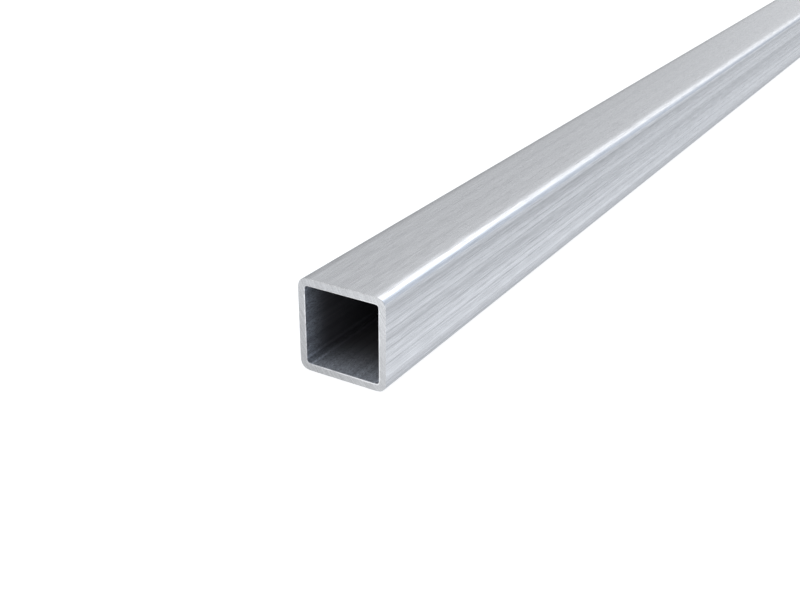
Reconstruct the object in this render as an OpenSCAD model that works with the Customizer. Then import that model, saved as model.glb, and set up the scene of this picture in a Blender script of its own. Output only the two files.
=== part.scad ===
// Square steel profile tube: one length of cold-rolled hollow section with round corners,
// a tight-cornered bore right through it and two sawn ends. It lies along Y with its
// origin under its middle, on the surface that it rests on.

/* [Section] */
// Width of the section
section_w = 25; // [20:1:60]
// Height of the section
section_h = 25; // [20:1:60]
// Thickness of the wall
wall_t = 2; // [1.5:0.1:3]
// Radius of the rolled corners outside
corner_r = 2.5; // [1.5:0.1:3]
// Radius of the corners inside the bore
bore_corner_r = 0.8; // [0.3:0.1:1]

/* [Length] */
// Length between the two sawn ends
tube_len = 1000; // [200:50:6000]

/* [Sawn ends] */
// Width of the broken edge round the outside of each end
outer_break = 0.1; // [0.05:0.05:0.3]
// Width of the broken edge round the mouth of the bore
bore_break = 0.1; // [0.05:0.05:0.3]

/* [Hidden] */
$fn = 96;

// The bore is what the walls leave
bore_w = section_w - 2 * wall_t;
bore_h = section_h - 2 * wall_t;
// How far the cut for the bore runs past each end
overrun = 1;

// Outline of a straight side between two ends, centred on the axis it runs along.
// Each end is wider than the middle by flare, or narrower where flare is negative,
// and slopes at 45 degrees.
function side_outline(half, len, flare) =
    let (mouth = half + flare, end = len / 2, slope = end - abs(flare))
    [[mouth, -end], [half, -slope], [half, slope], [mouth, end],
     [-mouth, end], [-half, slope], [-half, -slope], [-mouth, -end]];

// The same outline on one side of the axis only, to be turned into a corner
function corner_outline(r, len, flare) =
    let (mouth = r + flare, end = len / 2, slope = end - abs(flare))
    [[0, -end], [mouth, -end], [r, -slope], [r, slope], [mouth, end], [0, end]];

// Slab along Z whose two long faces are w apart and whose thickness is t
module flared_slab(w, t, len, flare) {
    rotate([90, 0, 0])
        linear_extrude(height = t, center = true)
            polygon(side_outline(w / 2, len, flare));
}

// Bar along Z with a rectangular section, round corners and flared ends: two crossed
// slabs, and a quarter turn in each corner that they leave
module flared_bar(w, h, r, len, flare) {
    flat_w = w - 2 * r;
    flat_h = h - 2 * r;
    flared_slab(w, flat_h, len, flare);
    rotate([0, 0, 90]) flared_slab(h, flat_w, len, flare);
    for (mx = [0, 1], my = [0, 1])
        mirror([mx, 0, 0]) mirror([0, my, 0])
            translate([flat_w / 2, flat_h / 2, 0])
                rotate_extrude(angle = 90) polygon(corner_outline(r, len, flare));
}

// The tube: the rolled section with its bore, cut to length and laid on one of its sides
module tube() {
    color("#BEC2C7")
        translate([0, 0, section_h / 2])
            rotate([90, 0, 0])
                difference() {
                    flared_bar(section_w, section_h, corner_r, tube_len, -outer_break);
                    flared_bar(bore_w, bore_h, bore_corner_r, tube_len + 2 * overrun, bore_break + overrun);
                }
}

tube();
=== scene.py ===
# Square steel profile tube, bare and bright, lying on a white floor
import math

import bpy
from mathutils import Matrix, Vector


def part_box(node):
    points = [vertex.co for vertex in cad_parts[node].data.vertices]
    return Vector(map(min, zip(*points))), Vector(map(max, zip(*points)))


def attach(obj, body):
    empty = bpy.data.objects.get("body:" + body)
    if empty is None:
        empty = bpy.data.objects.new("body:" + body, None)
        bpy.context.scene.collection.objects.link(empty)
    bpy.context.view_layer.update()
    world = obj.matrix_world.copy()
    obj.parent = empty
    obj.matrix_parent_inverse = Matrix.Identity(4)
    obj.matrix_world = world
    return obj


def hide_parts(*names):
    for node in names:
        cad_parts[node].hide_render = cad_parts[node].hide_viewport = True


mm = 0.001
white = (1, 1, 1, 1)

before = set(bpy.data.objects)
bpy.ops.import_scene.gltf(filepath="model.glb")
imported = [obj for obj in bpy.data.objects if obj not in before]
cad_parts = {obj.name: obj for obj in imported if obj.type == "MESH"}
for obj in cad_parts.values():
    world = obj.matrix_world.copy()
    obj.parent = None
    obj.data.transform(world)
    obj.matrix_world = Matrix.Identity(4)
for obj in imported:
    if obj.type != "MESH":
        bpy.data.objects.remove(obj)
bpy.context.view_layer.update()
tubeLow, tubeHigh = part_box("tube")
tubeSpan = tubeHigh - tubeLow
tubeMiddle = (tubeLow + tubeHigh) / 2
print("frame loaded, tube is", [round(side / mm, 2) for side in tubeSpan], "mm")


def setInputs(tree, node, links):
    # links are sockets to join, or values to set
    for name, value in links.items():
        if isinstance(value, bpy.types.NodeSocket):
            tree.links.new(value, node.inputs[name])
        else:
            node.inputs[name].default_value = value


def addNode(tree, kind, links=None, output=None, **settings):
    # one node with its own fields and its inputs; gives back the node, or the output asked for
    node = tree.nodes.new(kind)
    for name, value in settings.items():
        setattr(node, name, value)
    setInputs(tree, node, links or {})
    return node if output is None else node.outputs[output]


def newMaterial(name):
    material = bpy.data.materials.new(name)
    material.use_nodes = True
    tree = material.node_tree
    return material, tree, tree.nodes["Principled BSDF"]


def hexColour(code):
    # sRGB hex to the linear colour that nodes want
    channels = [int(code[i:i + 2], 16) / 255 for i in (1, 3, 5)]
    return tuple(c / 12.92 if c <= 0.04045 else ((c + 0.055) / 1.055) ** 2.4
                 for c in channels) + (1,)


# where a seed lies in a pattern's space, and how much its finer layers count
seedStep = (1, 0.37, 0.71)
noiseRoughness = 0.55


def stretchedNoise(tree, place, across, along, detail, seed):
    # noise from -1 to 1 about 0, in cells `across` wide and `along` long down the tube
    cells = addNode(tree, "ShaderNodeMapping", {
        "Vector": place, "Location": [seed * step for step in seedStep],
        "Scale": (1 / across, 1 / along, 1 / across)}, "Vector")
    noise = addNode(tree, "ShaderNodeTexNoise", {
        "Vector": cells, "Scale": 1.0, "Detail": detail, "Roughness": noiseRoughness}, "Fac")
    return addNode(tree, "ShaderNodeMapRange", {
        "Value": noise, "To Min": -1.0, "To Max": 1.0}, "Result")


# the outside

skin = {
    "steel": "#C8CACE",             # clean rolled face
    "edgeSteel": "#DEDFE0",         # steel mirrors less at a glancing angle than other metals do
    "roughness": 0.26,
    "smoothing": -0.35,             # how the marks change it: lighter ones are smoother
    "bandWidth": 1.5 * mm,          # broad draw marks, across the tube
    "bandLength": 1500 * mm,        # and along it: one band runs most of the tube
    "lineWidth": 0.5 * mm,          # finer ones between them
    "lineLength": 240 * mm,
    "lineShare": 0.6,               # and how strong those are beside the bands
    "dashWidth": 0.18 * mm,         # brush scratches, drawn twice too coarse so that they show
    "dashLength": 7.5 * mm,
    "markOnSides": 0.43,            # how far bands and lines change the colour of the upright faces
    "markOnTop": 0.24,              # and of the top and the underside, which ran on smooth rolls
    "dashOnSides": 0.33,            # the same for the scratches
    "dashOnTop": 0.60,
    "bump": 0.0015 * mm,
    "detail": 2.0,
    "seeds": (1264.0, 11.0, 23.0),  # bands, lines, scratches: the first puts the bands about
                                    # where the photo has them
}


def rolledSkin():
    # cold-rolled and bright: satin, with long draw marks from the rolls and a fine brushed grain
    material, tree, surface = newMaterial("rolledSkin")
    coordinates = addNode(tree, "ShaderNodeTexCoord").outputs
    bands, lines, dashes = (
        stretchedNoise(tree, coordinates["Object"], skin[kind + "Width"], skin[kind + "Length"],
                       skin["detail"], seed)
        for kind, seed in zip(("band", "line", "dash"), skin["seeds"]))

    # stronger or fainter by where the face looks
    facing = addNode(tree, "ShaderNodeSeparateXYZ", {"Vector": coordinates["Normal"]}, "X")
    sideways = addNode(tree, "ShaderNodeMath", {0: facing}, 0, operation="ABSOLUTE")
    markDepth, dashDepth = (
        addNode(tree, "ShaderNodeMapRange", {
            "Value": sideways,
            "To Min": skin[kind + "OnTop"], "To Max": skin[kind + "OnSides"]}, "Result")
        for kind in ("mark", "dash"))
    marks = addNode(tree, "ShaderNodeMath", {0: lines, 1: skin["lineShare"], 2: bands}, 0,
                    operation="MULTIPLY_ADD")
    grain = addNode(tree, "ShaderNodeMath", {0: dashes, 1: dashDepth}, 0, operation="MULTIPLY")
    change = addNode(tree, "ShaderNodeMath", {0: marks, 1: markDepth, 2: grain}, 0,
                     operation="MULTIPLY_ADD")
    lightness = addNode(tree, "ShaderNodeMath", {0: change, 1: 1.0}, 0, operation="ADD")

    setInputs(tree, surface, {
        "Base Color": addNode(tree, "ShaderNodeVectorMath", {
            0: hexColour(skin["steel"])[:3], "Scale": lightness}, "Vector", operation="SCALE"),
        "Metallic": 1.0,
        "Roughness": addNode(tree, "ShaderNodeMath", {
            0: change, 1: skin["smoothing"], 2: skin["roughness"]}, 0, operation="MULTIPLY_ADD"),
        "Specular Tint": hexColour(skin["edgeSteel"]),
        "Normal": addNode(tree, "ShaderNodeBump", {
            "Height": addNode(tree, "ShaderNodeMath", {0: lines, 1: dashes}, 0, operation="ADD"),
            "Distance": skin["bump"], "Strength": 1.0}, "Normal")})
    return material


# the cut ends

sawn = {
    "steel": "#C9CACC",
    "roughness": 0.42,
    "cutWidth": 0.36 * mm,          # cuts of the single teeth
    "cutLength": 5 * mm,
    "cutMark": 0.30,
    "speckSize": 0.3 * mm,          # specks where a tooth tore the metal
    "speckMark": 0.28,
    "bump": 0.006 * mm,
    "lipGlint": "#F0F1F3",          # painted highlight: the torn lip is painted far lighter than the steel, where it catches the light
    "lipFade": 0.12 * mm,
    "lipSide": 0.12 * mm,           # the mouth's line is wider on the right, the flakes at the top
    "mouthLip": 0.27 * mm,          # an uneven line of it round the bore,
    "mouthRuns": 1.2 * mm,          # in runs of about this length
    "mouthSpread": 0.35 * mm,
    "edgeLip": -0.10 * mm,          # and only flakes of it along the outer edge
    "edgeSpread": 0.6 * mm,
    "detail": 2.0,
    "seeds": (31.0, 37.0, 41.0),    # cuts, specks, runs
}


def sawnSteel():
    # fresh from the saw: bare, finely scored in arcs by the round blade, with a torn lip painted
    # bright as a highlight
    material, tree, surface = newMaterial("sawnSteel")
    place = addNode(tree, "ShaderNodeTexCoord", output="Object")
    spot = addNode(tree, "ShaderNodeSeparateXYZ", {"Vector": place}).outputs
    blade = addNode(tree, "ShaderNodeCombineXYZ", {
        "X": tube["Blade Side"], "Y": spot["Y"], "Z": tube["Blade Height"]}, "Vector")
    fromBlade = addNode(tree, "ShaderNodeVectorMath", {0: place, 1: blade}, "Value",
                        operation="DISTANCE")
    swung = addNode(tree, "ShaderNodeCombineXYZ", {"X": fromBlade, "Y": spot["Z"]}, "Vector")
    cuts, specks, runs = (
        stretchedNoise(tree, where, sawn[width], sawn[length], sawn["detail"], seed)
        for (where, width, length), seed in zip((
            (swung, "cutWidth", "cutLength"), (place, "speckSize", "speckSize"),
            (place, "mouthRuns", "mouthRuns")), sawn["seeds"]))

    # the painted highlight on the lips: all along the mouth, and in flakes along the outer edge
    depth = addNode(tree, "ShaderNodeAttribute", output="Fac", attribute_name="depth")
    sideSlope, topSlope = (sawn["lipSide"] / (span / 2) for span in (tubeSpan.x, tubeSpan.z))
    mouthLine = addNode(tree, "ShaderNodeMath", {
        0: spot["X"], 1: sideSlope, 2: sawn["mouthLip"] - tube["Wall"]}, 0,
        operation="MULTIPLY_ADD")
    insideMouth = addNode(tree, "ShaderNodeMath", {0: mouthLine, 1: depth}, 0,
                          operation="SUBTRACT")
    mouthLip = addNode(tree, "ShaderNodeMath", {
        0: runs, 1: sawn["mouthSpread"], 2: insideMouth}, 0, operation="MULTIPLY_ADD")
    edgeLine = addNode(tree, "ShaderNodeMath", {
        0: spot["Z"], 1: topSlope, 2: sawn["edgeLip"] - tubeMiddle.z * topSlope}, 0,
        operation="MULTIPLY_ADD")
    insideEdge = addNode(tree, "ShaderNodeMath", {0: edgeLine, 1: depth}, 0, operation="ADD")
    edgeLip = addNode(tree, "ShaderNodeMath", {
        0: specks, 1: sawn["edgeSpread"], 2: insideEdge}, 0, operation="MULTIPLY_ADD")
    either = addNode(tree, "ShaderNodeMath", {0: mouthLip, 1: edgeLip}, 0, operation="MAXIMUM")
    lip = addNode(tree, "ShaderNodeMapRange", {"Value": either, "From Max": sawn["lipFade"]},
                  "Result")

    speckles = addNode(tree, "ShaderNodeMath", {0: specks, 1: sawn["speckMark"]}, 0,
                       operation="MULTIPLY")
    marks = addNode(tree, "ShaderNodeMath", {0: cuts, 1: sawn["cutMark"], 2: speckles}, 0,
                    operation="MULTIPLY_ADD")
    lightness = addNode(tree, "ShaderNodeMath", {0: marks, 1: 1.0}, 0, operation="ADD")
    bare = addNode(tree, "ShaderNodeVectorMath", {
        0: hexColour(sawn["steel"])[:3], "Scale": lightness}, "Vector", operation="SCALE")

    # a Mix node's sockets 6 and 7, and its output 2, are those for colours
    # the lips' lighter base colour is a painted highlight
    setInputs(tree, surface, {
        "Base Color": addNode(tree, "ShaderNodeMix", {
            0: lip, 6: bare, 7: hexColour(sawn["lipGlint"])}, 2, data_type="RGBA"),
        "Metallic": 1.0,
        "Roughness": sawn["roughness"],
        "Normal": addNode(tree, "ShaderNodeBump", {
            "Height": marks, "Distance": sawn["bump"], "Strength": 1.0}, "Normal")})
    return material


# the inside

bore = {
    "steel": "#5C5A5E",             # under its dull film of drawing oil
    "metal": 0.1,
    "roughness": 0.65,
    "specular": 0.25,
    "bandWidth": 1.2 * mm,          # faint draw marks
    "bandLength": 160 * mm,
    "bandMark": 0.45,
    "speckSize": 0.22 * mm,
    "speckLength": 0.9 * mm,
    "dustAndLight": "#AEB4BE",              # dust from the saw at both ends, and painted light falling in at the mouths
    "wallReach": 13 * mm,           # how far in it reaches on the walls,
    "floorReach": 22 * mm,          # and on the lower wall, where the painted light reaches deeper
    "dustAndLightFall": 2.0,                # how steeply it thins out inwards
    "dustCover": 0.75,              # how dense it is at the mouth,
    "dustSpeck": 1.3,               # and how uneven
    "shineAt": 9.1 * mm,            # from the axis: a painted highlight, a lighter line either side of each corner
    "shineWidth": 0.7 * mm,
    "shine": 0.6,
    "detail": 3.0,
    "seeds": (5.0, 17.0),           # bands, specks
}


def boreSteel():
    # never brushed or wiped: oil leaves it dark and dull, and dust and painted light make it
    # lighter towards the ends
    material, tree, surface = newMaterial("boreSteel")
    coordinates = addNode(tree, "ShaderNodeTexCoord").outputs
    place = coordinates["Object"]
    bandSeed, speckSeed = bore["seeds"]
    bands = stretchedNoise(tree, place, bore["bandWidth"], bore["bandLength"],
                           bore["detail"], bandSeed)
    specks = stretchedNoise(tree, place, bore["speckSize"], bore["speckLength"],
                            bore["detail"], speckSeed)

    # distances from the bore's middle, each way
    spot = addNode(tree, "ShaderNodeSeparateXYZ", {"Vector": place}).outputs
    height = addNode(tree, "ShaderNodeMath", {0: spot["Z"], 1: tubeMiddle.z}, 0,
                     operation="SUBTRACT")
    across, along, upright = (
        addNode(tree, "ShaderNodeMath", {0: offset}, 0, operation="ABSOLUTE")
        for offset in (spot["X"], spot["Y"], height))

    # dust and painted light: measured from the nearer end, deeper on the lower wall
    toEnd = addNode(tree, "ShaderNodeMath", {0: tubeSpan.y / 2, 1: along}, 0,
                    operation="SUBTRACT")
    facingUp = addNode(tree, "ShaderNodeSeparateXYZ", {"Vector": coordinates["Normal"]}, "Z")
    reach = addNode(tree, "ShaderNodeMapRange", {
        "Value": facingUp, "To Min": bore["wallReach"], "To Max": bore["floorReach"]}, "Result")
    inwards = addNode(tree, "ShaderNodeMath", {0: toEnd, 1: reach}, 0, operation="DIVIDE")
    towardsMouth = addNode(tree, "ShaderNodeMapRange", {
        "Value": inwards, "From Min": 1.0, "From Max": 0.0}, "Result",
        interpolation_type="SMOOTHSTEP")
    thinned = addNode(tree, "ShaderNodeMath", {0: towardsMouth, 1: bore["dustAndLightFall"]}, 0,
                      operation="POWER")
    cover = addNode(tree, "ShaderNodeMath", {
        0: specks, 1: bore["dustSpeck"], 2: bore["dustCover"]}, 0, operation="MULTIPLY_ADD")
    dustAndLightShare = addNode(tree, "ShaderNodeMath", {0: thinned, 1: cover}, 0, operation="MULTIPLY")

    # the painted highlight by the four corners, by the smaller of the two distances from the axis
    toCorner = addNode(tree, "ShaderNodeMath", {0: across, 1: upright}, 0, operation="MINIMUM")
    beside = addNode(tree, "ShaderNodeMath", {0: toCorner, 1: bore["shineAt"]}, 0,
                     operation="SUBTRACT")
    offLine = addNode(tree, "ShaderNodeMath", {0: beside}, 0, operation="ABSOLUTE")
    cornerHighlight = addNode(tree, "ShaderNodeMapRange", {
        "Value": offLine, "From Min": bore["shineWidth"], "From Max": 0.0,
        "To Max": bore["shine"]}, "Result", interpolation_type="SMOOTHSTEP")

    banded = addNode(tree, "ShaderNodeMath", {0: bands, 1: bore["bandMark"], 2: 1.0}, 0,
                     operation="MULTIPLY_ADD")
    lightness = addNode(tree, "ShaderNodeMath", {0: banded, 1: cornerHighlight}, 0, operation="ADD")
    # lighter towards the mouths: dust with painted light
    steel, dustAndLight = (
        addNode(tree, "ShaderNodeVectorMath", {
            0: hexColour(bore[name])[:3], "Scale": lightness}, "Vector", operation="SCALE")
        for name in ("steel", "dustAndLight"))
    setInputs(tree, surface, {
        "Base Color": addNode(tree, "ShaderNodeMix", {0: dustAndLightShare, 6: steel, 7: dustAndLight}, 2,
                              data_type="RGBA"),
        "Metallic": bore["metal"],
        "Roughness": bore["roughness"],
        "Specular IOR Level": bore["specular"]})
    return material


# the tube

tube = {
    "Wall": 2.0 * mm,
    "Corner Radius": 2.05 * mm,     # before the easing, which brings it to 2.5
    "Bore Radius": 0.85 * mm,
    "Corner Ease": 24,              # rounds of easing that run each corner softly into the flats
    "Outer Break": 0.1 * mm,
    "Bore Break": 0.1 * mm,
    "Corner Steps": 24,             # in a quarter turn
    "Girth Steps": 384,             # round the section
    "Length Step": 10.0 * mm,       # rows along the tube
    "Wall Step": 0.2 * mm,          # rows across the sawn wall
    "Draw Depth": 0.012 * mm,       # grooves from the rolls
    "Draw Width": 1.3 * mm,
    "Wave Depth": 0.05 * mm,        # slow unevenness of the faces
    "Wave Width": 9.0 * mm,
    "Wave Length": 170.0 * mm,
    "Saw Depth": 0.05 * mm,         # ridges on both ends
    "Saw Pitch": 0.9 * mm,
    "Saw Run": 9.0,                 # how long a ridge is, in pitches
    "Blade Side": 75.0 * mm,        # middle of the round blade that cut them: beside the tube
    "Blade Height": 60.0 * mm,      # and above the floor
    "Tear Depth": 0.12 * mm,        # how far the edge of the mouth is torn
    "Tear Length": 0.7 * mm,
    "Crisp Angle": math.radians(30),
}

# detail and seed of each unevenness, and where a seed lies in its space
unevenKinds = {"wave": (1.0, 4.0), "groove": (2.0, 9.0), "ridge": (2.0, 21.0), "tear": (3.0, 33.0)}
unevenStep = (1, 0.7, 1.3)

onFace = 0.001  # share of the wall: what is no deeper than this counts as on its face


def tubeTree(materials):
    # the outline of the wall, as long as the tube, is swept once round the square section
    tree = bpy.data.node_groups.new("profileTube", "GeometryNodeTree")
    tree.interface.new_socket("Geometry", in_out="OUTPUT", socket_type="NodeSocketGeometry")
    for name in ("Width", "Height", "Length", *tube):
        kind = "NodeSocketInt" if isinstance(tube.get(name), int) else "NodeSocketFloat"
        tree.interface.new_socket(name, in_out="INPUT", socket_type=kind)
    size = addNode(tree, "NodeGroupInput").outputs
    here = addNode(tree, "GeometryNodeInputPosition", output="Position")

    square = addNode(tree, "GeometryNodeCurvePrimitiveQuadrilateral", {
        "Width": size["Width"], "Height": size["Height"]}, "Curve", mode="RECTANGLE")
    rounded = addNode(tree, "GeometryNodeFilletCurve", {
        "Curve": square, "Count": size["Corner Steps"], "Radius": size["Corner Radius"]},
        "Curve", mode="POLY")
    even = addNode(tree, "GeometryNodeResampleCurve", {
        "Curve": rounded, "Count": size["Girth Steps"]}, "Curve", mode="COUNT")
    eased = addNode(tree, "GeometryNodeBlurAttribute", {
        "Value": here, "Iterations": size["Corner Ease"]}, "Value", data_type="FLOAT_VECTOR")
    section = addNode(tree, "GeometryNodeSetPosition", {"Geometry": even, "Position": eased},
                      "Geometry")

    # wall outline: x is 0 at the outer face and minus the wall at the bore, y runs along the tube
    wallBox = addNode(tree, "GeometryNodeCurvePrimitiveQuadrilateral", {
        "Width": size["Wall"], "Height": size["Length"]}, "Curve", mode="RECTANGLE")
    across = addNode(tree, "ShaderNodeSeparateXYZ", {"Vector": here}, "X")
    outside = addNode(tree, "FunctionNodeCompare", {"A": across, "B": 0.0}, "Result",
                      operation="GREATER_THAN")
    breakWidth = addNode(tree, "GeometryNodeSwitch", {
        "Switch": outside, "False": size["Bore Break"], "True": size["Outer Break"]},
        "Output", input_type="FLOAT")
    broken = addNode(tree, "GeometryNodeFilletCurve", {
        "Curve": wallBox, "Count": 1, "Radius": breakWidth}, "Curve", mode="POLY")

    # rows: long steps along the tube, short ones across the sawn end
    following = addNode(tree, "GeometryNodeOffsetPointInCurve", {"Offset": 1}, "Point Index")
    nextPlace = addNode(tree, "GeometryNodeFieldAtIndex", {"Index": following, "Value": here},
                        "Value", data_type="FLOAT_VECTOR", domain="POINT")
    gap = addNode(tree, "ShaderNodeVectorMath", {0: here, 1: nextPlace}, "Value",
                  operation="DISTANCE")
    isLong = addNode(tree, "FunctionNodeCompare", {"A": gap, "B": size["Wall"]}, "Result",
                     operation="GREATER_THAN")
    step = addNode(tree, "GeometryNodeSwitch", {
        "Switch": isLong, "False": size["Wall Step"], "True": size["Length Step"]},
        "Output", input_type="FLOAT")
    steps = addNode(tree, "ShaderNodeMath", {0: gap, 1: step}, 0, operation="DIVIDE")
    rows = addNode(tree, "GeometryNodeSubdivideCurve", {"Curve": broken, "Cuts": steps}, "Curve")
    halfWall = addNode(tree, "ShaderNodeMath", {0: size["Wall"], 1: -0.5}, 0,
                       operation="MULTIPLY")
    outline = addNode(tree, "GeometryNodeTransform", {
        "Geometry": rows,
        "Translation": addNode(tree, "ShaderNodeCombineXYZ", {"X": halfWall}, "Vector")},
        "Geometry")
    marked = addNode(tree, "GeometryNodeStoreNamedAttribute", {
        "Geometry": outline, "Name": "depth", "Value": across}, "Geometry",
        domain="POINT", data_type="FLOAT")
    swept = addNode(tree, "GeometryNodeCurveToMesh", {
        "Curve": section, "Profile Curve": marked, "Fill Caps": False}, "Mesh")

    # how deep in the wall a point is: 0 at the outer face, 1 at the bore
    depth = addNode(tree, "GeometryNodeInputNamedAttribute", {"Name": "depth"}, "Attribute",
                    data_type="FLOAT")
    minusWall = addNode(tree, "ShaderNodeMath", {0: size["Wall"], 1: -1.0}, 0,
                        operation="MULTIPLY")
    wallShare = addNode(tree, "ShaderNodeMath", {0: depth, 1: minusWall}, 0, operation="DIVIDE")

    # the sweep leaves the bore's corners too sharp: what lies past their radius is drawn in to it
    radius = addNode(tree, "ShaderNodeMix", {
        "Factor": wallShare, "A": size["Corner Radius"], "B": size["Bore Radius"]}, "Result")
    faces = (addNode(tree, "ShaderNodeMath", {0: size[side], 1: 0.5, 2: depth}, 0,
                     operation="MULTIPLY_ADD") for side in ("Width", "Height"))
    coreX, coreY = (addNode(tree, "ShaderNodeMath", {0: face, 1: radius}, 0,
                            operation="SUBTRACT") for face in faces)
    core = addNode(tree, "ShaderNodeCombineXYZ", {"X": coreX, "Y": coreY, "Z": size["Length"]},
                   "Vector")
    away = addNode(tree, "ShaderNodeVectorMath", {0: here}, "Vector", operation="ABSOLUTE")
    pastCore = addNode(tree, "ShaderNodeVectorMath", {0: away, 1: core}, "Vector",
                       operation="SUBTRACT")
    beyond = addNode(tree, "ShaderNodeVectorMath", {0: pastCore, 1: (0, 0, 0)}, "Vector",
                     operation="MAXIMUM")
    reach = addNode(tree, "ShaderNodeVectorMath", {0: beyond}, "Value", operation="LENGTH")
    atLeast = addNode(tree, "ShaderNodeMath", {0: reach, 1: radius}, 0, operation="MAXIMUM")
    kept = addNode(tree, "ShaderNodeMath", {0: radius, 1: atLeast}, 0, operation="DIVIDE")
    drawnIn = addNode(tree, "ShaderNodeMath", {0: kept, 1: 1.0}, 0, operation="SUBTRACT")
    quarter = addNode(tree, "ShaderNodeVectorMath", {0: here}, "Vector", operation="SIGN")
    outwards = addNode(tree, "ShaderNodeVectorMath", {0: beyond, 1: quarter}, "Vector",
                       operation="MULTIPLY")
    formed = addNode(tree, "GeometryNodeSetPosition", {
        "Geometry": swept,
        "Offset": addNode(tree, "ShaderNodeVectorMath", {0: outwards, "Scale": drawnIn},
                          "Vector", operation="SCALE")}, "Geometry")

    # laid down along Y, on the floor
    halfHeight = addNode(tree, "ShaderNodeMath", {0: size["Height"], 1: 0.5}, 0,
                         operation="MULTIPLY")
    laid = addNode(tree, "GeometryNodeTransform", {
        "Geometry": formed, "Rotation": (math.pi / 2, 0, 0),
        "Translation": addNode(tree, "ShaderNodeCombineXYZ", {"Z": halfHeight}, "Vector")},
        "Geometry")
    spot = addNode(tree, "ShaderNodeSeparateXYZ", {"Vector": here}).outputs

    def unevenness(name, place, cell):
        # 0 to 1, in cells of the given three sizes
        detail, seed = unevenKinds[name]
        cells = addNode(tree, "ShaderNodeCombineXYZ", dict(zip("XYZ", cell)), "Vector")
        scaled = addNode(tree, "ShaderNodeVectorMath", {0: place, 1: cells}, "Vector",
                         operation="DIVIDE")
        moved = addNode(tree, "ShaderNodeVectorMath", {
            0: scaled, 1: [seed * step for step in unevenStep]}, "Vector", operation="ADD")
        return addNode(tree, "ShaderNodeTexNoise", {
            "Vector": moved, "Scale": 1.0, "Detail": detail}, "Fac")

    # rolled skin: slow waves and fine draw grooves, all cut inwards
    wave = unevenness("wave", here, (size["Wave Width"], size["Wave Length"], size["Wave Width"]))
    groove = unevenness("groove", here, (size["Draw Width"], size["Length"], size["Draw Width"]))
    grooveCut = addNode(tree, "ShaderNodeMath", {0: groove, 1: size["Draw Depth"]}, 0,
                        operation="MULTIPLY")
    skinCut = addNode(tree, "ShaderNodeMath", {0: wave, 1: size["Wave Depth"], 2: grooveCut}, 0,
                      operation="MULTIPLY_ADD")
    inwards = addNode(tree, "ShaderNodeMath", {0: skinCut, 1: -1.0}, 0, operation="MULTIPLY")
    facing = addNode(tree, "GeometryNodeInputNormal", output="Normal")
    rolled = addNode(tree, "GeometryNodeSetPosition", {
        "Geometry": laid,
        "Selection": addNode(tree, "FunctionNodeCompare", {"A": wallShare, "B": onFace},
                             "Result", operation="LESS_THAN"),
        "Offset": addNode(tree, "ShaderNodeVectorMath", {0: facing, "Scale": inwards}, "Vector",
                          operation="SCALE")}, "Geometry")

    # sawn ends: curved ridges from the round blade
    blade = addNode(tree, "ShaderNodeCombineXYZ", {
        "X": size["Blade Side"], "Y": spot["Y"], "Z": size["Blade Height"]}, "Vector")
    fromBlade = addNode(tree, "ShaderNodeVectorMath", {0: here, 1: blade}, "Value",
                        operation="DISTANCE")
    swung = addNode(tree, "ShaderNodeCombineXYZ", {
        "X": fromBlade, "Y": spot["Y"], "Z": spot["Z"]}, "Vector")
    ridgeLength = addNode(tree, "ShaderNodeMath", {0: size["Saw Pitch"], 1: size["Saw Run"]}, 0,
                          operation="MULTIPLY")
    ridge = unevenness("ridge", swung, (size["Saw Pitch"], size["Length"], ridgeLength))
    sawCut = addNode(tree, "ShaderNodeMath", {0: ridge, 1: size["Saw Depth"]}, 0,
                     operation="MULTIPLY")

    # and a torn edge round the mouth
    torn = unevenness("tear", here, (size["Tear Length"],) * 3)
    tearDepth = addNode(tree, "ShaderNodeMath", {0: torn, 1: size["Tear Depth"]}, 0,
                        operation="MULTIPLY")
    breakShare = addNode(tree, "ShaderNodeMath", {0: size["Bore Break"], 1: size["Wall"]}, 0,
                         operation="DIVIDE")
    mouthStart = addNode(tree, "ShaderNodeMath", {0: 1 - onFace, 1: breakShare}, 0,
                         operation="SUBTRACT")
    atMouth = addNode(tree, "FunctionNodeCompare", {"A": wallShare, "B": mouthStart}, "Result",
                      operation="GREATER_THAN")
    endCut = addNode(tree, "ShaderNodeMath", {0: tearDepth, 1: atMouth, 2: sawCut}, 0,
                     operation="MULTIPLY_ADD")

    # both cut the ends towards the middle of the tube
    backwards = addNode(tree, "ShaderNodeMath", {0: spot["Y"], 1: -1.0}, 0, operation="MULTIPLY")
    toMiddle = addNode(tree, "ShaderNodeMath", {0: backwards}, 0, operation="SIGN")
    along = addNode(tree, "ShaderNodeMath", {0: endCut, 1: toMiddle}, 0, operation="MULTIPLY")
    halfLength, halfBreak = (
        addNode(tree, "ShaderNodeMath", {0: size[name], 1: 0.5}, 0, operation="MULTIPLY")
        for name in ("Length", "Outer Break"))
    fromMiddle = addNode(tree, "ShaderNodeMath", {0: spot["Y"]}, 0, operation="ABSOLUTE")
    toEnd = addNode(tree, "ShaderNodeMath", {0: halfLength, 1: fromMiddle}, 0,
                    operation="SUBTRACT")
    sawnOff = addNode(tree, "GeometryNodeSetPosition", {
        "Geometry": rolled,
        "Selection": addNode(tree, "FunctionNodeCompare", {"A": toEnd, "B": halfBreak},
                             "Result", operation="LESS_THAN"),
        "Offset": addNode(tree, "ShaderNodeCombineXYZ", {"Y": along}, "Vector")}, "Geometry")

    # crisp where the saw left a corner, smooth elsewhere
    bend = addNode(tree, "GeometryNodeInputMeshEdgeAngle", output="Unsigned Angle")
    geometry = addNode(tree, "GeometryNodeSetShadeSmooth", {
        "Geometry": sawnOff,
        "Shade Smooth": addNode(tree, "FunctionNodeCompare", {
            "A": bend, "B": size["Crisp Angle"]}, "Result", operation="LESS_THAN")},
        "Geometry", domain="EDGE")

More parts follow.
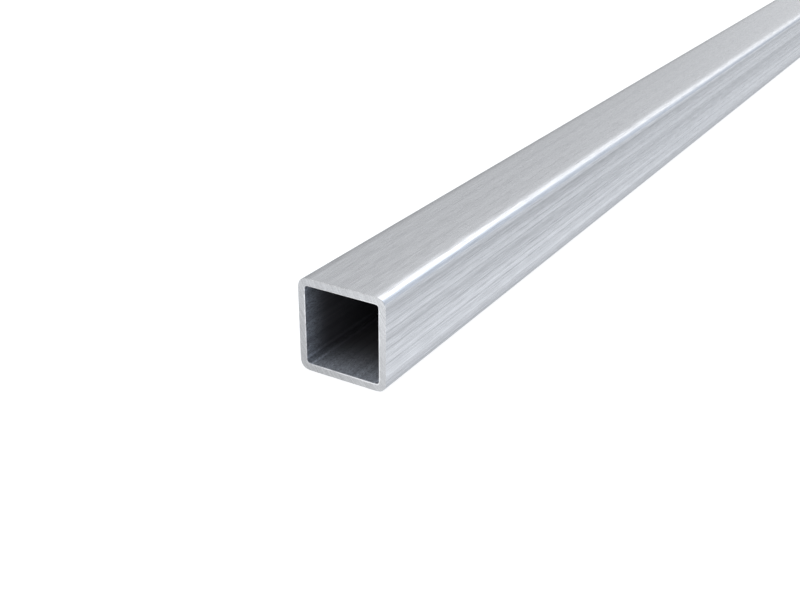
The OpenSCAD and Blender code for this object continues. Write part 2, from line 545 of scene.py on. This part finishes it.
    # the skin goes all over, then the sawn steel on what lies below it, then the bore's
    isSawn, isBore = (
        addNode(tree, "FunctionNodeCompare", {"A": wallShare, "B": share}, "Result",
                operation="GREATER_THAN") for share in (onFace, 1 - onFace))
    for material, where in zip(materials, (True, isSawn, isBore)):
        geometry = addNode(tree, "GeometryNodeSetMaterial", {
            "Geometry": geometry, "Selection": where, "Material": material}, "Geometry")
    whole = addNode(tree, "GeometryNodeRealizeInstances", {"Geometry": geometry}, "Geometry")
    addNode(tree, "NodeGroupOutput", {"Geometry": whole})
    return tree


def buildTube():
    materials = [rolledSkin(), sawnSteel(), boreSteel()]
    print("materials ready:", ", ".join(material.name for material in materials))
    tree = tubeTree(materials)
    sizes = dict(tube, Width=tubeSpan.x, Height=tubeSpan.z, Length=tubeSpan.y)
    holder = bpy.data.objects.new("tubeHolder", bpy.data.meshes.new("tubeHolder"))
    bpy.context.scene.collection.objects.link(holder)
    modifier = holder.modifiers.new("profileTube", "NODES")
    modifier.node_group = tree
    for socket in tree.interface.items_tree:
        if socket.in_out == "INPUT":
            modifier[socket.identifier] = sizes[socket.name]
    graph = bpy.context.evaluated_depsgraph_get()
    mesh = bpy.data.meshes.new_from_object(holder.evaluated_get(graph))
    bpy.data.objects.remove(holder)
    mesh.name = "profile_tube"
    piece = bpy.data.objects.new("profile_tube", mesh)
    bpy.context.scene.collection.objects.link(piece)
    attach(piece, "root")
    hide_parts("tube")
    return piece


tubePiece = buildTube()
print("tube built,", sum(len(face.vertices) - 2 for face in tubePiece.data.polygons), "triangles")


# the floor

ground = {
    "size": 30.0,
    "grey": "#A6A8AA",
    "whiteGlow": 0.82,              # lifts the lit floor to plain white in the picture
    # how brightly the steel mirrors it: a painted glow, with painted shadow close by on the left
    # and at the foot of the cut end; by metres across and along the tube
    "leftGlow": 0.60,               # close by on the left, where less light falls,
    "rightGlow": 0.84,              # and on the right
    "besideReach": (0.005, 0.0185),  # from the one to the other
    "farGlow": (0.58, 0.70),        # out in the room: level with the cut end, and with the middle
    "farFrom": 0.8,                 # which starts at this share of the way from middle to end
    "glowReach": (0.015, 0.05),     # either side of the tube, from close by to out in the room
    "frontGlow": (0.81, 1.56),      # at the foot of the cut end, and in front of it,
    "frontReach": (0.010, 0.045),
    "frontShare": (0.46, 0.95),     # times this on its left and on its right
    "shareReach": (-0.03, 0.01),
}


def whiteFloor():
    # matt studio floor: plain white to the camera, and in the steel a soft, uneven light
    material, tree, surface = newMaterial("whiteFloor")
    rays = addNode(tree, "ShaderNodeLightPath").outputs
    place = addNode(tree, "ShaderNodeTexCoord", output="Object")
    spot = addNode(tree, "ShaderNodeSeparateXYZ", {"Vector": place}).outputs
    aside = addNode(tree, "ShaderNodeMath", {0: spot["X"]}, 0, operation="ABSOLUTE")
    closeBy = addNode(tree, "ShaderNodeMapRange", {
        "Value": spot["X"],
        "From Min": ground["besideReach"][0], "From Max": ground["besideReach"][1],
        "To Min": ground["leftGlow"], "To Max": ground["rightGlow"]},
        "Result", interpolation_type="SMOOTHERSTEP")
    farOff = addNode(tree, "ShaderNodeMapRange", {
        "Value": spot["Y"],
        "From Min": tubeLow.y * ground["farFrom"], "From Max": tubeMiddle.y,
        "To Min": ground["farGlow"][0], "To Max": ground["farGlow"][1]},
        "Result", interpolation_type="SMOOTHSTEP")
    beside = addNode(tree, "ShaderNodeMapRange", {
        "Value": aside,
        "From Min": ground["glowReach"][0], "From Max": ground["glowReach"][1],
        "To Min": closeBy, "To Max": farOff}, "Result", interpolation_type="SMOOTHERSTEP")

    # in front of the cut end, with painted shadow at its foot
    share = addNode(tree, "ShaderNodeMapRange", {
        "Value": spot["X"],
        "From Min": ground["shareReach"][0], "From Max": ground["shareReach"][1],
        "To Min": ground["frontShare"][0], "To Max": ground["frontShare"][1]}, "Result")
    ahead = addNode(tree, "ShaderNodeMapRange", {
        "Value": spot["Y"],
        "From Min": tubeLow.y - ground["frontReach"][0],
        "From Max": tubeLow.y - ground["frontReach"][1],
        "To Min": ground["frontGlow"][0], "To Max": ground["frontGlow"][1]},
        "Result", interpolation_type="SMOOTHSTEP")
    mirrored = addNode(tree, "ShaderNodeMix", {
        "Factor": addNode(tree, "ShaderNodeMath", {0: spot["Y"], 1: tubeLow.y}, 0,
                          operation="LESS_THAN"),
        "A": beside,
        "B": addNode(tree, "ShaderNodeMath", {0: ahead, 1: share}, 0, operation="MULTIPLY")},
        "Result")
    inSteel = addNode(tree, "ShaderNodeMath", {0: rays["Is Glossy Ray"], 1: mirrored}, 0,
                      operation="MULTIPLY")
    setInputs(tree, surface, {
        "Base Color": hexColour(ground["grey"]),
        "Roughness": 1.0,
        "Specular IOR Level": 0.0,
        "Emission Color": white,
        "Emission Strength": addNode(tree, "ShaderNodeMath", {
            0: rays["Is Camera Ray"], 1: ground["whiteGlow"], 2: inSteel}, 0,
            operation="MULTIPLY_ADD")})

    half = ground["size"] / 2
    mesh = bpy.data.meshes.new("floor")
    mesh.from_pydata([(-half, -half, 0), (half, -half, 0), (half, half, 0), (-half, half, 0)],
                     [], [(0, 1, 2, 3)])
    mesh.materials.append(material)
    floor = bpy.data.objects.new("floor", mesh)
    bpy.context.scene.collection.objects.link(floor)


# the light

room = {
    "light": 0.71,
    "coolLight": 1.02,              # on the right, and a little bluer
    "coolTint": "#EEF5FF",
    "dimLight": 0.46,               # low on the left, so that the edge there stands out
    "frontLight": (1.10, 0.52),     # in front of the cut end, from its left to its right
    "longBox": (0.76, 1.00),        # a long soft box, towards the cut end and away from it
    "nearBox": 0.62,                # and a short one over the part next to the cut end
}

# where each light starts and where it is full, by the X, Y or Z of the direction out to it
fades = {
    "cool": ("X", 0.05, 0.35),
    "dimLeft": ("X", -0.35, -0.60),
    "dimLow": ("Z", 0.22, 0.04),
    "frontRight": ("X", -0.3, 0.3),
    "front": ("Y", -0.1, -0.4),
    "box": ("Y", 0.35, 0.60),       # 1 is straight along the tube
    "boxNear": ("Y", 0.88, 0.80),
    "boxFar": ("Y", 0.86, 0.97),
    "longLeft": ("turn", -51, -35),  # degrees round the tube: 0 is straight up, minus is left
    "longRight": ("turn", 52, 4),
    "farRight": ("turn", 74, 22),
    "nearLeft": ("turn", -32, -14),
    "nearRight": ("turn", 62, 16),
}


def whiteWorld():
    # the camera sees a white backdrop, the rest is lit by a dimmer room and its two soft boxes
    world = bpy.data.worlds.new("whiteRoom")
    bpy.context.scene.world = world
    world.use_nodes = True
    tree = world.node_tree
    rays = addNode(tree, "ShaderNodeLightPath").outputs
    outwards = addNode(tree, "ShaderNodeTexCoord", output="Generated")
    way = addNode(tree, "ShaderNodeSeparateXYZ", {"Vector": outwards}).outputs
    turn = addNode(tree, "ShaderNodeMath", {0: way["X"], 1: way["Z"]}, 0, operation="ARCTAN2")

    fade = {}
    for name, (part, start, full) in fades.items():
        if part == "turn":
            start, full = math.radians(start), math.radians(full)
        fade[name] = addNode(tree, "ShaderNodeMapRange", {
            "Value": turn if part == "turn" else way[part],
            "From Min": start, "From Max": full}, "Result", interpolation_type="SMOOTHSTEP")

    # the room
    sides = addNode(tree, "ShaderNodeMix", {
        "Factor": fade["cool"], "A": room["light"], "B": room["coolLight"]}, "Result")
    lowLeft = addNode(tree, "ShaderNodeMath", {0: fade["dimLeft"], 1: fade["dimLow"]}, 0,
                      operation="MULTIPLY")
    around = addNode(tree, "ShaderNodeMix", {
        "Factor": lowLeft, "A": sides, "B": room["dimLight"]}, "Result")
    front = addNode(tree, "ShaderNodeMix", {
        "Factor": fade["frontRight"], "A": room["frontLight"][0], "B": room["frontLight"][1]},
        "Result")
    lit = addNode(tree, "ShaderNodeMix", {"Factor": fade["front"], "A": around, "B": front},
                  "Result")

    # the soft boxes: each is the product of its light and its fades
    longRight = addNode(tree, "ShaderNodeMix", {
        "Factor": fade["boxFar"], "A": fade["longRight"], "B": fade["farRight"]}, "Result")
    longLight = addNode(tree, "ShaderNodeMix", {
        "Factor": fade["boxFar"], "A": room["longBox"][0], "B": room["longBox"][1]}, "Result")
    for glow, *factors in (
            (longLight, fade["box"], fade["longLeft"], longRight),
            (fade["box"], fade["boxNear"], fade["nearLeft"], fade["nearRight"], room["nearBox"])):
        for factor in factors:
            glow = addNode(tree, "ShaderNodeMath", {0: glow, 1: factor}, 0, operation="MULTIPLY")
        lit = addNode(tree, "ShaderNodeMath", {0: lit, 1: glow}, 0, operation="ADD")

    inPicture = rays["Is Camera Ray"]
    tint = addNode(tree, "ShaderNodeMix", {
        0: fade["cool"], 6: white, 7: hexColour(room["coolTint"])}, 2, data_type="RGBA")
    setInputs(tree, tree.nodes["Background"], {
        "Color": addNode(tree, "ShaderNodeMix", {0: inPicture, 6: tint, 7: white}, 2,
                         data_type="RGBA"),
        "Strength": addNode(tree, "ShaderNodeMix", {"Factor": inPicture, "A": lit, "B": 1.0},
                            "Result")})


whiteFloor()
whiteWorld()
print("floor and light ready")


# the camera, set against the straight edges in the photo

shot = {
    "azimuth": 31.4664,             # degrees round the tube from its cut end
    "elevation": 25.3592,
    "roll": -0.1790,
    "lens": 49.13,
    "sensor": 36.0,
    "clip": (0.01, 100.0),
    # from the middle of the lower edge of the cut end, in tube widths
    "stand": (5.3141, -7.6142, 5.2653),
}


def addCamera():
    azimuth, elevation = math.radians(shot["azimuth"]), math.radians(shot["elevation"])
    back = Vector((math.sin(azimuth) * math.cos(elevation),
                   -math.cos(azimuth) * math.cos(elevation), math.sin(elevation)))
    data = bpy.data.cameras.new("photoCamera")
    data.lens, data.sensor_width = shot["lens"], shot["sensor"]
    data.clip_start, data.clip_end = shot["clip"]
    camera = bpy.data.objects.new("photoCamera", data)
    bpy.context.scene.collection.objects.link(camera)
    camera.location = Vector((0, tubeLow.y, tubeLow.z)) + Vector(shot["stand"]) * tubeSpan.x
    upright = (-back).to_track_quat("-Z", "Y").to_matrix()
    roll = Matrix.Rotation(math.radians(-shot["roll"]), 3, "Z")
    camera.rotation_euler = (upright @ roll).to_euler()
    bpy.context.scene.camera = camera


addCamera()
bpy.context.scene.view_settings.view_transform = "Standard"
print("camera ready")
